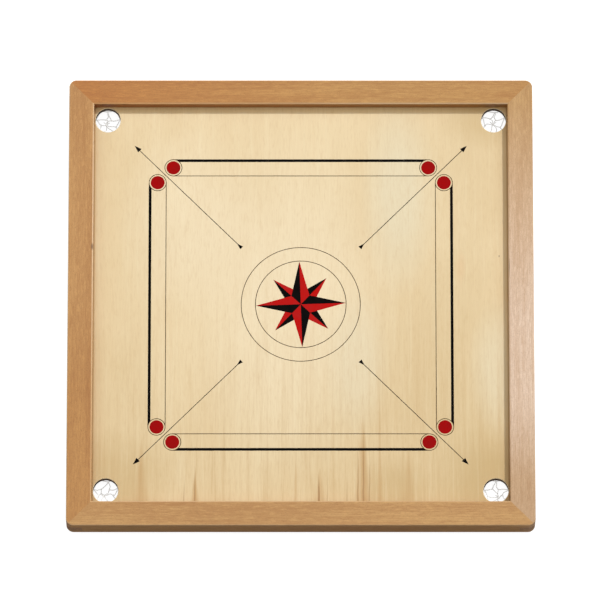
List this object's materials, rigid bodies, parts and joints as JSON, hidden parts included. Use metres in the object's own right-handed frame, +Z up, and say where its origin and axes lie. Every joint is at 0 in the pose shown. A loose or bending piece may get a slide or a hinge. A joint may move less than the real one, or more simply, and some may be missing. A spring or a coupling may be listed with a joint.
{
  "type": "carrom board",
  "caption": "Square wooden carrom board: mitred raised rails round a pale playing panel printed with base lines and a star, with netted corner pockets, on rubber feet.",
  "frame": {"origin": "middle of the board, on the surface that its feet stand on", "axes": "+Z up out of the playing surface, +X to the right, -Y towards the front rail"},
  "size_m": [0.83, 0.83, 0.057],
  "materials": {
    "rail_beech": "satin varnish over straight-grained beech",
    "key_beech": "end grain, varnished",
    "panel_ply": "smooth lacquered pale plywood face",
    "batten_pine": "planed softwood",
    "screw_steel": "zinc plated",
    "staple_wire": "galvanised wire",
    "hoop_wire": "galvanised wire",
    "net_nylon": "knotted nylon cord",
    "foot_rubber": "matt moulded rubber",
    "ink_black": "printed ink film",
    "ink_fine": "printed ink film, thin line",
    "ink_red": "printed ink film"
  },
  "bodies": {
    "root": {"front_rail": "rail_beech", "right_rail": "rail_beech", "back_rail": "rail_beech", "left_rail": "rail_beech", "corner_key_front_left": "key_beech", "corner_key_front_right": "key_beech", "corner_key_back_right": "key_beech", "corner_key_back_left": "key_beech", "playing_panel": "panel_ply", "batten_long": "batten_pine", "batten_cross": "batten_pine", "panel_screws": "screw_steel", "batten_screws": "screw_steel", "foot_screws": "screw_steel", "net_staples": "staple_wire", "net_hoop_front_left": "hoop_wire", "net_hoop_front_right": "hoop_wire", "net_hoop_back_right": "hoop_wire", "net_hoop_back_left": "hoop_wire", "net_front_left": "net_nylon", "net_front_right": "net_nylon", "net_back_right": "net_nylon", "net_back_left": "net_nylon", "foot_front_left": "foot_rubber", "foot_front_right": "foot_rubber", "foot_back_right": "foot_rubber", "foot_back_left": "foot_rubber", "ink_base_lines": "ink_black", "ink_arrows": "ink_black", "ink_fine_lines": "ink_fine", "ink_circle_outlines": "ink_fine", "ink_centre_circles": "ink_fine", "ink_red_spots": "ink_red", "ink_star_black": "ink_black", "ink_star_red": "ink_red"}
  },
  "joints": []
}
